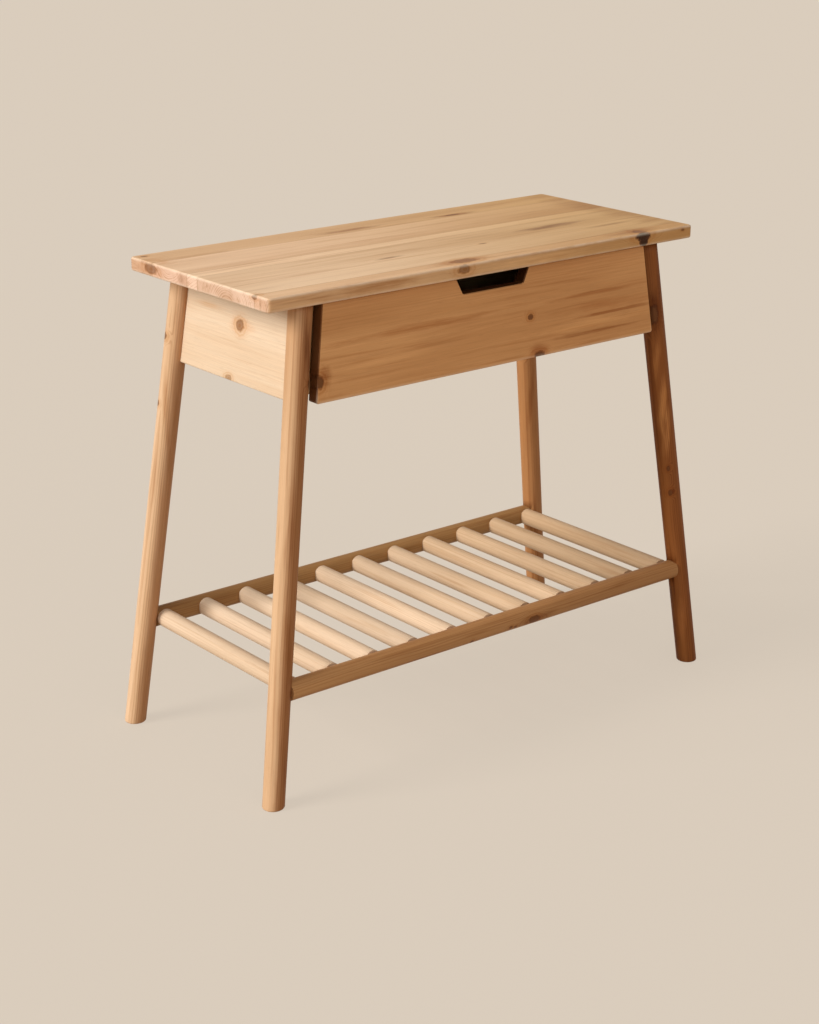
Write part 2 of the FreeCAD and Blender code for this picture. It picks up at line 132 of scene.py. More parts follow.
def feed(tree, node, *values):
    """Fills a node's first inputs in order."""
    for socket, value in zip(node.inputs, values):
        plug(tree, socket, value)
    return node


def feed_named(tree, node, **values):
    """Fills a node's inputs by name, with an underscore for a space."""
    for label, value in values.items():
        plug(tree, node.inputs[label.replace("_", " ")], value)
    return node


def maths(tree, operation, *values):
    node = tree.nodes.new("ShaderNodeMath")
    node.operation = operation
    return feed(tree, node, *values).outputs[0]


def times(tree, first, second):
    return maths(tree, "MULTIPLY", first, second)


def vector_maths(tree, operation, *values):
    node = tree.nodes.new("ShaderNodeVectorMath")
    node.operation = operation
    return feed(tree, node, *values).outputs["Value" if operation == "LENGTH" else "Vector"]


def ramp(tree, value, low, high, start=0.0, end=1.0):
    """A smooth step from start to end while the value goes from low to high."""
    node = tree.nodes.new("ShaderNodeMapRange")
    node.interpolation_type = "SMOOTHSTEP"
    return feed(tree, node, value, low, high, start, end).outputs[0]


def noise(tree, point, scale, detail, roughness):
    node = tree.nodes.new("ShaderNodeTexNoise")
    feed_named(tree, node, Vector=point, Scale=scale, Detail=detail, Roughness=roughness)
    return node.outputs["Fac"]


def streaky(tree, point, along, across, detail, roughness):
    """Noise drawn out along the grain, with its scale along the grain and across it."""
    point = vector_maths(tree, "MULTIPLY", point, (along, across, across))
    return noise(tree, point, 1.0, detail, roughness)


def chance(tree, number):
    """Random outputs, the same every time for the same whole number."""
    node = tree.nodes.new("ShaderNodeTexWhiteNoise")
    node.noise_dimensions = "1D"
    return feed_named(tree, node, W=number).outputs


def parts_of(tree, vector):
    return feed(tree, tree.nodes.new("ShaderNodeSeparateXYZ"), vector).outputs


def vector_of(tree, x, y, z):
    return feed(tree, tree.nodes.new("ShaderNodeCombineXYZ"), x, y, z).outputs[0]


def grey(tree, value):
    """A value as all three parts of a colour or vector."""
    return vector_of(tree, value, value, value)


def chosen(tree, number, options):
    """The option, a vector, that a whole number picks."""
    total = (0.0, 0.0, 0.0)
    for place, option in enumerate(options):
        here = maths(tree, "COMPARE", number, float(place), 0.5)
        part = vector_maths(tree, "MULTIPLY", grey(tree, here), option)
        total = vector_maths(tree, "ADD", part, total)
    return total


def facing(tree):
    """The three parts of the normal, which tell end grain from the other faces."""
    return parts_of(tree, tree.nodes.new("ShaderNodeNewGeometry").outputs["Normal"])


def facing_ends(tree):
    """Near 1 on faces sawn across a board that lies along the table."""
    return maths(tree, "ABSOLUTE", facing(tree)[0])


def tint(tree, mode, factor, first, second):
    """Two colours blended. The places are those of a Mix node's colour sockets."""
    node = tree.nodes.new("ShaderNodeMix")
    node.data_type = "RGBA"
    node.blend_type = mode
    for place, value in ((0, factor), (6, first), (7, second)):
        plug(tree, node.inputs[place], value)
    return node.outputs[2]


def colour(red, green, blue):
    return (red, green, blue, 1.0)


def new_group(name, inputs, outputs):
    """An empty shader group: its tree, given values and result node. Each input is a name,
    a kind and a value."""
    tree = bpy.data.node_groups.new(name, "ShaderNodeTree")
    for label, kind, value in inputs:
        socket = tree.interface.new_socket(label, in_out="INPUT", socket_type="NodeSocket" + kind)
        socket.default_value = value
    for label, kind in outputs:
        tree.interface.new_socket(label, in_out="OUTPUT", socket_type="NodeSocket" + kind)
    return tree, tree.nodes.new("NodeGroupInput").outputs, tree.nodes.new("NodeGroupOutput")


def placed(tree, group, **values):
    """The outputs of a group that is put into a tree with these values."""
    node = tree.nodes.new("ShaderNodeGroup")
    node.node_tree = group
    return feed_named(tree, node, **values).outputs


def spot_distance(tree, given):
    """How far a group's point lies from a spot's middle, in half sizes of the spot."""
    away = vector_maths(tree, "SUBTRACT", given["Point"], given["Middle"])
    away = vector_maths(tree, "DIVIDE", away, given["Half Size"])
    return vector_maths(tree, "LENGTH", away)


def roughened(tree, distance, *noises):
    """A distance made uneven by noises of around 0.5, each with its strength."""
    for rough, strength in noises:
        distance = maths(tree, "MULTIPLY_ADD", rough, strength, distance)
    return maths(tree, "SUBTRACT", distance, sum(strength for rough, strength in noises) / 2)


# Effects that several finishes share. Weather changes the rings' width at this pace and by
# this much, and no ring is paler than the palest.
weather_pace = 0.31
weather_swing = 2.4
palest_ring = 0.35


def make_growth_rings():
    """Rings round a pith that runs along the grain, seen wherever the wood is cut."""
    tree, given, result = new_group(
        "growth_rings",
        [("Board Point", "Vector", (0, 0, 0)), ("Pith", "Vector", (0, 0, 0)),
         ("Ring Width", "Float", 0.003), ("Waver", "Float", 0.004), ("Lift", "Float", 0.0)],
        [("Late Wood", "Float"), ("Ring Tone", "Float")])
    point = given["Board Point"]
    slow = streaky(tree, point, along=2.2, across=9.0, detail=3.0, roughness=0.55)
    drift = vector_maths(tree, "SUBTRACT", slow.node.outputs["Color"], (0.5, 0.5, 0.5))
    drift = vector_maths(tree, "SCALE", drift)
    plug(tree, drift.node.inputs["Scale"], given["Waver"])
    point = vector_maths(tree, "ADD", point, drift)
    point = vector_maths(tree, "SUBTRACT", point, given["Pith"])
    point = vector_maths(tree, "MULTIPLY", point, (0.0, 1.0, 1.0))
    radius = vector_maths(tree, "LENGTH", point)
    age = maths(tree, "DIVIDE", radius, given["Ring Width"])
    age = maths(tree, "ADD", age, given["Lift"])
    weather = tree.nodes.new("ShaderNodeTexNoise")
    weather.noise_dimensions = "1D"
    feed_named(tree, weather, W=times(tree, age, weather_pace), Scale=1.0, Detail=2.0)
    tone = weather.outputs["Fac"]
    age = maths(tree, "ADD", age, times(tree, tone, weather_swing))
    # Late wood darkens from a third of the year on and stops at once in winter
    season = maths(tree, "FRACT", age)
    late = ramp(tree, season, 0.35, 0.88)
    late = times(tree, late, ramp(tree, season, 1.0, 0.93))
    luck = chance(tree, maths(tree, "FLOOR", age))["Value"]
    weight = maths(tree, "MULTIPLY_ADD", luck, 1 - palest_ring, palest_ring)
    feed_named(tree, result, Late_Wood=times(tree, late, weight), Ring_Tone=tone)
    return tree


def make_wood_fibre():
    """Fine fibres, resin ducts and broad drifts of tone, all drawn out along the grain."""
    tree, given, result = new_group(
        "wood_fibre",
        [("Board Point", "Vector", (0, 0, 0))],
        [("Fibre", "Float"), ("Ducts", "Float"), ("Drift", "Float"), ("Streaks", "Float")])
    point = given["Board Point"]
    fibre = streaky(tree, point, along=14.0, across=1100.0, detail=3.0, roughness=0.6)
    ducts = streaky(tree, point, along=55.0, across=1500.0, detail=1.0, roughness=0.4)
    drift = streaky(tree, point, along=1.3, across=16.0, detail=3.0, roughness=0.55)
    streaks = streaky(tree, point, along=4.5, across=120.0, detail=3.0, roughness=0.6)
    feed_named(tree, result, Fibre=fibre, Ducts=ramp(tree, ducts, 0.66, 0.76),
               Drift=ramp(tree, drift, 0.32, 0.68), Streaks=ramp(tree, streaks, 0.52, 0.72))
    return tree


def make_branch_knot():
    """A knot: its core, the dark line round it, the warm wood beyond, and how far rings bend."""
    tree, given, result = new_group(
        "branch_knot",
        [("Point", "Vector", (0, 0, 0)), ("Middle", "Vector", (0, 0, 0)),
         ("Half Size", "Vector", (0.01, 0.01, 0.01)), ("Dark", "Float", 1.0)],
        [("Core", "Float"), ("Rim", "Float"), ("Halo", "Float"), ("Lift", "Float")])
    broad = noise(tree, given["Point"], scale=120.0, detail=2.0, roughness=0.5)
    fine = noise(tree, given["Point"], scale=520.0, detail=2.0, roughness=0.6)
    distance = roughened(tree, spot_distance(tree, given), (broad, 1.0), (fine, 0.3))
    rim = ramp(tree, distance, 0.65, 0.95)
    rim = times(tree, rim, ramp(tree, distance, 1.35, 1.0))
    rim = times(tree, rim, ramp(tree, fine, 0.30, 0.60))
    core = ramp(tree, distance, 1.10, 0.72)
    circle = maths(tree, "SINE", times(tree, distance, 8.0))
    halo = ramp(tree, distance, 2.9, 0.7)
    halo = times(tree, halo, ramp(tree, circle, -1.0, 1.0, 0.42, 1.0))
    feed_named(tree, result, Core=times(tree, core, given["Dark"]),
               Rim=times(tree, rim, given["Dark"]),
               Halo=halo, Lift=ramp(tree, distance, 3.6, 0.4, 0.0, 3.4))
    return tree


def make_flame_mark():
    """A long soft mark in the figure, drawn out to points and broken up along the fibres."""
    tree, given, result = new_group(
        "flame_mark",
        [("Point", "Vector", (0, 0, 0)), ("Fibre Point", "Vector", (0, 0, 0)),
         ("Middle", "Vector", (0, 0, 0)), ("Half Size", "Vector", (0.05, 0.01, 0.01))],
        [("Mark", "Float")])
    board = given["Fibre Point"]
    lick = streaky(tree, board, along=16.0, across=110.0, detail=3.0, roughness=0.6)
    hair = streaky(tree, board, along=9.0, across=800.0, detail=2.0, roughness=0.6)
    distance = roughened(tree, spot_distance(tree, given), (lick, 1.6))
    mark = ramp(tree, distance, 1.1, 0.1)
    hairs = ramp(tree, hair, 0.25, 0.65, 0.55, 1.0)
    feed_named(tree, result, Mark=times(tree, mark, hairs))
    return tree


def make_worn_and_highlit_edges():
    """Where a board's arrises are handled, and a painted highlight where they catch the light:
    high near two faces of its box at once.
    """
    tree, given, result = new_group(
        "worn_edges",
        [("Point", "Vector", (0, 0, 0)), ("Middle", "Vector", (0, 0, 0)),
         ("Half Size", "Vector", (1, 1, 1)), ("Width", "Float", 0.0050)],
        [("Wear", "Float")])
    away = vector_maths(tree, "SUBTRACT", given["Point"], given["Middle"])
    away = vector_maths(tree, "ABSOLUTE", away)
    inset = vector_maths(tree, "SUBTRACT", given["Half Size"], away)
    close = [ramp(tree, part, given["Width"], 0.0) for part in parts_of(tree, inset)]
    edge = 0.0
    for first, second in ((0, 1), (1, 2), (0, 2)):
        both = times(tree, close[first], close[second])
        edge = maths(tree, "MAXIMUM", edge, both)
    patchy = noise(tree, given["Point"], scale=38.0, detail=3.0, roughness=0.6)
    patches = ramp(tree, patchy, 0.30, 0.60, 0.55, 1.0)
    feed_named(tree, result, Wear=times(tree, edge, patches))
    return tree


growth_rings = make_growth_rings()
wood_fibre = make_wood_fibre()
branch_knot = make_branch_knot()
flame_mark = make_flame_mark()
worn_edges = make_worn_and_highlit_edges()


# Where the grain of each piece runs

def along_x(tree, point):
    return point


def along_y(tree, point):
    x, y, z = parts_of(tree, point)
    return vector_of(tree, y, x, z)


def on_leg(end, side, depth):
    """An end of the leg's axis, carried over to the leg at this side and depth."""
    return Vector((side * end.x, depth * end.y, end.z))


def along_leg(side, depth):
    """Grain along a leg's leaning axis, measured from its foot."""
    foot = on_leg(leg_foot, side, depth)
    turn = (on_leg(leg_head, side, depth) - foot).to_track_quat("X", "Z").to_euler()

    def grain(tree, point):
        node = tree.nodes.new("ShaderNodeMapping")
        node.vector_type = "TEXTURE"
        return feed_named(tree, node, Vector=point, Location=foot, Rotation=turn).outputs[0]

    return grain


class Wood:
    """Colours and strengths of one kind of wood surface."""

    def __init__(self, pale, deep, late, ring_strength, streak_strength,
                 roughness=0.46, end_contrast=1.0, edge_wear_and_highlight=0.5):
        self.pale = colour(*pale)
        self.deep = colour(*deep)
        self.late = colour(*late)
        self.ring_strength = ring_strength
        self.streak_strength = streak_strength
        self.roughness = roughness
        self.end_contrast = end_contrast
        self.edge_wear_and_highlight = edge_wear_and_highlight


# What all the pine has in common. End grain is told by how far a face looks along the table.
end_grain = (0.55, 0.90)
drift_strength = 0.8
strongest_ends = 0.9
duct_strength = 0.22
core_strength = 0.92
rim_strength = 0.60
# How far worn arrises, and the painted highlight along them, go towards their paler colour
wear_and_highlight_share = 0.42
lacquer_shine = 0.09
smoothest_lacquer = -0.05
roughest_lacquer = 0.06
worn_roughness = 0.10
knot_smoothness = 0.08

# Relief: its depth in metres, and what late wood, ducts and knot lines add to the fibres
grain_depth = 0.00022
grain_relief = 0.6
late_wood_height = 0.5
duct_height = 0.6
knot_rim_height = 1.2

white = colour(1.0, 1.0, 1.0)
resin = colour(0.330, 0.150, 0.060)
knot_core = colour(0.070, 0.022, 0.007)
knot_heart = colour(0.235, 0.088, 0.029)
knot_rim = colour(0.060, 0.020, 0.008)
knot_halo = colour(0.84, 0.66, 0.48)
# Paler colour of worn arrises, which is also a painted highlight along them
wear_and_highlight_colour = colour(0.97, 0.85, 0.68)


def start_material(name):
    material = bpy.data.materials.new(name)
    material.use_nodes = True
    tree = material.node_tree
    return material, tree, tree.nodes.new("ShaderNodeTexCoord").outputs["Object"]


def cover(tree, base, roughness, height, depth, strength=1.0, **others):
    """Joins a finish to the surface. The depth in metres is that of the height's relief."""
    relief = tree.nodes.new("ShaderNodeBump")
    feed_named(tree, relief, Strength=strength, Distance=depth, Height=height)
    feed_named(tree, tree.nodes["Principled BSDF"], Base_Color=base, Roughness=roughness,
               Normal=relief.outputs["Normal"], **others)


def join_knots(tree, point, knots):
    """All the knots of a piece as one core, rim, halo and lift."""
    joined = [0.0, 0.0, 0.0, 0.0]
    for middle, half_size, dark in knots:
        knot = placed(tree, branch_knot, Point=point, Middle=middle, Half_Size=half_size,
                      Dark=dark)
        joined = [maths(tree, "MAXIMUM", old, knot[label])
                  for old, label in zip(joined, ("Core", "Rim", "Halo", "Lift"))]
    return joined


def draw_grain(tree, wood, base, board, rings, fibre):
    """Rings in patches and stronger on end grain, then streaks, fibres and resin ducts."""
    strength = ramp(tree, facing_ends(tree), *end_grain, wood.ring_strength,
                    min(strongest_ends, wood.ring_strength * wood.end_contrast))
    patchy = streaky(tree, board, along=3.0, across=45.0, detail=2.0, roughness=0.5)
    strength = times(tree, strength, ramp(tree, patchy, 0.36, 0.62, 0.15, 1.25))
    for share in (times(tree, rings["Late Wood"], strength),
                  times(tree, fibre["Streaks"], wood.streak_strength)):
        base = tint(tree, "MIX", share, base, tint(tree, "MULTIPLY", 1.0, base, wood.late))
    shine = ramp(tree, fibre["Fibre"], 0.25, 0.75, 0.93, 1.05)
    base = tint(tree, "MULTIPLY", 1.0, base, grey(tree, shine))
    return tint(tree, "MIX", times(tree, fibre["Ducts"], duct_strength), base, resin)


def draw_knots(tree, base, ring_tone, core, rim, halo):
    """Warm wood round each knot, its ringed core and the dark line that closes it."""
    base = tint(tree, "MULTIPLY", halo, base, knot_halo)
    inner = tint(tree, "MIX", ring_tone, knot_core, knot_heart)
    deep = ramp(tree, core, 1.0, 1.6, 1.0, 0.30)
    inner = tint(tree, "MULTIPLY", 1.0, inner, grey(tree, deep))
    base = tint(tree, "MIX", times(tree, core, core_strength), base, inner)
    return tint(tree, "MIX", times(tree, rim, rim_strength), base, knot_rim)


def pine(name, wood, grain, pith, ring_width, waver, knots=(), marks=(),
         box=None, staves=None, shade=None):
    """Lacquered pine, with knots and marks as in the tables below."""
    material, tree, point = start_material(name)
    board = grain(tree, point)
    if staves:
        board, pith, stave_tone = staves(tree, board)
    core, rim, halo, lift = join_knots(tree, point, knots)
    rings = placed(tree, growth_rings, Board_Point=board, Pith=pith, Ring_Width=ring_width,
                   Waver=waver, Lift=lift)
    fibre = placed(tree, wood_fibre, Board_Point=board)

    drift = times(tree, fibre["Drift"], drift_strength)
    base = tint(tree, "MIX", drift, wood.pale, wood.deep)
    if staves:
        base = tint(tree, "MULTIPLY", 1.0, base, stave_tone)
    # Painted light and shade, where a piece has them, multiply the colour here
    if shade:
        base = tint(tree, "MULTIPLY", 1.0, base, shade(tree, point))
    for middle, half_size, tone in marks:
        mark = placed(tree, flame_mark, Point=point, Fibre_Point=board, Middle=middle,
                      Half_Size=half_size)
        base = tint(tree, "MULTIPLY", mark["Mark"], base, colour(*tone))
    base = draw_grain(tree, wood, base, board, rings, fibre)
    height = maths(tree, "MULTIPLY_ADD", rings["Late Wood"], late_wood_height, fibre["Fibre"])
    ducts = times(tree, fibre["Ducts"], duct_height)
    height = maths(tree, "SUBTRACT", height, ducts)
    roughness = ramp(tree, fibre["Fibre"], 0.2, 0.8, wood.roughness + smoothest_lacquer,
                     wood.roughness + roughest_lacquer)
    if knots:
        base = draw_knots(tree, base, rings["Ring Tone"], core, rim, halo)
        rim_height = times(tree, rim, knot_rim_height)
        height = maths(tree, "SUBTRACT", height, rim_height)
        smoother = times(tree, core, knot_smoothness)
        roughness = maths(tree, "SUBTRACT", roughness, smoother)
    if box:
        low, high = box
        wear_and_highlight = placed(tree, worn_edges, Point=point, Middle=(low + high) / 2,
                      Half_Size=(high - low) / 2)["Wear"]
        # Worn arrises, partly real wear and partly a painted highlight where the edges catch the
        # light
        worn_and_lit = tint(tree, "MIX", wear_and_highlight_share, base, wear_and_highlight_colour)
        base = tint(tree, "MIX", times(tree, wear_and_highlight, wood.edge_wear_and_highlight), base, worn_and_lit)
        roughness = maths(tree, "MULTIPLY_ADD", wear_and_highlight, worn_roughness, roughness)
    cover(tree, base, roughness, height, grain_depth, grain_relief,
          Specular_IOR_Level=lacquer_shine)
    return material


# The top: five staves of different logs, with the seams from the back edge to the front one.
# A glue line starts at one distance from its seam and is full at the other.

top_seams = (0.112, 0.022, -0.004, -0.141)
glue_line = (0.0009, 0.0002)
glue_strength = 0.8
stave_offset = 1.7
stave_piths = ((0.0, 0.160, 0.640), (0.0, 0.075, 0.765), (0.0, -0.080, 0.560),
               (0.0, -0.077, 0.698), (0.0, -0.230, 0.700))
stave_tones = ((1.02, 0.99, 0.94), (1.02, 0.99, 0.99), (1.09, 1.10, 1.12),
               (1.00, 1.00, 1.00), (0.98, 0.92, 0.86))


def top_staves(tree, board):
    """Numbers the staves from the back and gives each its own pith and tone."""
    x, y, z = parts_of(tree, board)
    number = 0.0
    glue = 0.0
    for seam in top_seams:
        number = maths(tree, "ADD", number, maths(tree, "LESS_THAN", y, seam))
        away = maths(tree, "ABSOLUTE", maths(tree, "SUBTRACT", y, seam))
        glue = maths(tree, "MAXIMUM", glue, ramp(tree, away, *glue_line))
    shifted = vector_of(tree, maths(tree, "MULTIPLY_ADD", number, stave_offset, x), y, z)
    glue = times(tree, glue, glue_strength)
    tone = tint(tree, "MULTIPLY", glue, chosen(tree, number, stave_tones),
                colour(0.62, 0.50, 0.40))
    return shifted, chosen(tree, number, stave_piths), tone


def top_painted_falloff_and_end_tone(tree, point):
    """Painted light falloff: the top is paler to the left, nearer the key light, and more
    golden to the right. It is also darker in front and at its ends.
    """
    x, y = parts_of(tree, point)[:2]
    # Painted light falloff from the left end of the top to the right end
    place = ramp(tree, x, -0.42, 0.44)
    tone = tint(tree, "MIX", place, colour(1.11, 1.07, 1.12), colour(0.785, 0.660, 0.480))
    in_front = times(tree, ramp(tree, y, -0.1690, -0.1715), 0.9)
    tone = tint(tree, "MULTIPLY", in_front, tone, colour(0.84, 0.74, 0.62))
    ends = ramp(tree, facing_ends(tree), *end_grain)
    return tint(tree, "MULTIPLY", ends, tone, colour(0.86, 0.85, 0.97))


def drawer_front_end_grain_and_painted_shade(tree, point):
    """End grain drinks in more lacquer, and the ends also carry painted shade from the legs
    beside them. The finger slot lies in the dark under the top: painted shade, near black.
    """
    normal = facing(tree)
    ends = ramp(tree, maths(tree, "ABSOLUTE", normal[0]), 0.30, 0.80)
    inside = maths(tree, "MAXIMUM", ramp(tree, normal[2], 0.60, 0.95), ends)
    from_middle = maths(tree, "ABSOLUTE", parts_of(tree, point)[0])
    painted_slot_shade = times(tree, inside, ramp(tree, from_middle, 0.075, 0.070))
    # The ends: darker end grain and painted shade together
    tone = tint(tree, "MIX", ends, white, colour(0.26, 0.20, 0.17))
    # Painted shade: the slot's walls and floor near black
    return tint(tree, "MIX", painted_slot_shade, tone, colour(0.085, 0.060, 0.045))


# Kinds of wood

top_wood = Wood((0.810, 0.592, 0.365), (0.615, 0.395, 0.208), (0.66, 0.50, 0.36),
                ring_strength=0.24, streak_strength=0.44, end_contrast=3.0, edge_wear_and_highlight=0.9)
front_wood = Wood((0.700, 0.350, 0.140), (0.535, 0.240, 0.085), (0.66, 0.50, 0.37),
                  ring_strength=0.24, streak_strength=0.40)
side_wood = Wood((0.790, 0.635, 0.470), (0.710, 0.515, 0.340), (0.80, 0.64, 0.48),
                 ring_strength=0.17, streak_strength=0.28)
leg_wood = Wood((0.700, 0.450, 0.262), (0.530, 0.292, 0.142), (0.60, 0.44, 0.31),
                ring_strength=0.50, streak_strength=0.50)
pale_leg_wood = Wood((0.790, 0.540, 0.345), (0.640, 0.395, 0.215), (0.62, 0.46, 0.33),
                     ring_strength=0.46, streak_strength=0.46)
dark_leg_wood = Wood((0.300, 0.104, 0.028), (0.195, 0.059, 0.0125), (0.48, 0.32, 0.22),
                     ring_strength=0.60, streak_strength=0.50)
warm_leg_wood = Wood((0.540, 0.265, 0.108), (0.420, 0.185, 0.066), (0.58, 0.42, 0.30),
                     ring_strength=0.50, streak_strength=0.45)
rail_wood = Wood((0.520, 0.262, 0.103), (0.350, 0.161, 0.059), (0.62, 0.46, 0.33),
                 ring_strength=0.40, streak_strength=0.50)
back_rail_wood = Wood((0.395, 0.208, 0.078), (0.262, 0.125, 0.044), (0.62, 0.46, 0.33),
                      ring_strength=0.40, streak_strength=0.50)
rung_wood = Wood((0.690, 0.510, 0.345), (0.585, 0.405, 0.250), (0.74, 0.60, 0.46),
                 ring_strength=0.32, streak_strength=0.36)
inner_wood = Wood((0.750, 0.560, 0.350), (0.650, 0.445, 0.250), (0.76, 0.62, 0.46),
                  ring_strength=0.36, streak_strength=0.28, roughness=0.62)


# Knots: middle, half size, depth of tone. Marks: middle, half size, tone to multiply by.

top_knots = [
    ((-0.400, 0.115, 0.7215), (0.016, 0.014, 0.007), 0.66),
    ((-0.046, -0.152, 0.7300), (0.021, 0.010, 0.006), 0.55),
    ((-0.062, -0.1725, 0.7235), (0.011, 0.008, 0.006), 0.68),
    ((0.292, -0.1725, 0.7250), (0.014, 0.006, 0.0055), 1.7),
    ((0.294, -0.1725, 0.7180), (0.0075, 0.006, 0.0075), 1.7),
    ((0.296, -0.160, 0.7300), (0.010, 0.010, 0.005), 0.7),
    ((0.163, 0.122, 0.7300), (0.014, 0.0035, 0.006), 0.7),
    ((0.378, -0.1725, 0.7250), (0.003, 0.003, 0.002), 0.9),
    ((-0.398, -0.141, 0.7270), (0.008, 0.006, 0.003), 0.7),
    ((-0.384, 0.159, 0.7300), (0.005, 0.003, 0.003), 0.7),
    ((0.054, -0.077, 0.7300), (0.006, 0.0016, 0.003), 0.8),
]

top_marks = [
    ((0.217, -0.043, 0.7300), (0.080, 0.012, 0.010), (0.42, 0.32, 0.26)),
    ((0.300, -0.090, 0.7300), (0.060, 0.008, 0.010), (0.60, 0.50, 0.42)),
    ((-0.042, 0.127, 0.7300), (0.070, 0.010, 0.010), (0.58, 0.46, 0.38)),
    ((0.163, 0.122, 0.7300), (0.055, 0.009, 0.010), (0.50, 0.38, 0.30)),
    ((-0.114, -0.069, 0.7300), (0.030, 0.006, 0.010), (0.45, 0.34, 0.28)),
    ((-0.060, -0.148, 0.7300), (0.070, 0.016, 0.010), (0.72, 0.60, 0.50)),
    ((0.290, -0.150, 0.7300), (0.060, 0.020, 0.012), (0.66, 0.54, 0.44)),
    ((0.080, -0.1725, 0.7200), (0.110, 0.010, 0.009), (1.25, 1.30, 1.35)),
    ((-0.230, -0.1725, 0.7200), (0.110, 0.010, 0.012), (0.68, 0.55, 0.43)),
    ((-0.400, 0.036, 0.7190), (0.012, 0.012, 0.014), (0.74, 0.66, 0.60)),
    ((-0.400, -0.155, 0.7190), (0.012, 0.004, 0.012), (0.68, 0.58, 0.50)),
    ((-0.330, 0.118, 0.7300), (0.090, 0.008, 0.010), (0.74, 0.64, 0.56)),
    # Painted shade: the far right end of the top darker, carrying on the painted light falloff
    ((0.392, 0.000, 0.7300), (0.060, 0.260, 0.010), (0.74, 0.67, 0.60)),
]

front_knots = [
    ((0.070, -0.167, 0.6335), (0.0048, 0.020, 0.0040), 0.95),
    ((0.086, -0.170, 0.5745), (0.0090, 0.020, 0.0060), 1.0),
    ((-0.316, -0.168, 0.6010), (0.0070, 0.020, 0.0090), 1.0),
]

front_marks = [
    ((-0.140, -0.166, 0.6500), (0.190, 0.030, 0.006), (0.74, 0.61, 0.51)),
    ((0.190, -0.166, 0.6510), (0.110, 0.030, 0.004), (0.74, 0.61, 0.51)),
    ((0.220, -0.168, 0.5930), (0.130, 0.030, 0.004), (0.60, 0.46, 0.36)),
    ((0.220, -0.168, 0.6060), (0.150, 0.030, 0.009), (1.22, 1.28, 1.32)),
    ((0.225, -0.166, 0.6300), (0.120, 0.030, 0.012), (0.84, 0.74, 0.66)),
    ((0.240, -0.168, 0.6180), (0.110, 0.030, 0.003), (0.64, 0.50, 0.40)),
    ((-0.200, -0.168, 0.6150), (0.120, 0.030, 0.010), (1.12, 1.14, 1.16)),
    ((0.086, -0.168, 0.5820), (0.022, 0.030, 0.014), (0.72, 0.60, 0.54)),
    ((-0.306, -0.168, 0.6080), (0.014, 0.030, 0.020), (0.62, 0.50, 0.42)),
]

side_knots = [
    ((-0.334, -0.008, 0.653), (0.020, 0.0085, 0.0075), 0.62),
    ((-0.344, 0.010, 0.5745), (0.020, 0.0070, 0.0045), 0.45),
]

side_marks = [
    ((-0.333, -0.008, 0.653), (0.030, 0.034, 0.020), (0.95, 0.78, 0.66)),
    # Painted shadow: a darker, more orange band along the top of the side, under the top's
    # overhang
    ((-0.330, 0.020, 0.698), (0.030, 0.130, 0.012), (0.96, 0.84, 0.72)),
    ((-0.336, 0.070, 0.668), (0.030, 0.050, 0.006), (0.92, 0.80, 0.68)),
]

other_side_knots = [
    ((0.336, 0.055, 0.632), (0.020, 0.0100, 0.0080), 0.6),
    ((0.342, -0.090, 0.600), (0.020, 0.0060, 0.0045), 0.8),
]

back_knots = [
    ((-0.190, 0.146, 0.660), (0.0110, 0.020, 0.0085), 0.55),
    ((0.142, 0.150, 0.602), (0.0060, 0.020, 0.0045), 0.85),
]

back_marks = [
    ((-0.190, 0.146, 0.660), (0.050, 0.030, 0.020), (0.93, 0.76, 0.64)),
    ((0.080, 0.150, 0.640), (0.180, 0.030, 0.010), (0.88, 0.76, 0.64)),
]

rail_knots = [
    ((-0.054, -0.190, 0.1580), (0.0032, 0.006, 0.0025), 1.0),
    ((0.022, -0.190, 0.1620), (0.0036, 0.006, 0.0025), 0.9),
    ((0.032, -0.190, 0.1600), (0.0030, 0.006, 0.0022), 0.9),
    ((0.069, -0.190, 0.1630), (0.0100, 0.010, 0.0055), 0.95),
]

rail_marks = [
    ((0.072, -0.188, 0.1640), (0.050, 0.016, 0.009), (0.62, 0.50, 0.42)),
    ((-0.150, -0.188, 0.1560), (0.100, 0.016, 0.005), (0.72, 0.60, 0.52)),
]

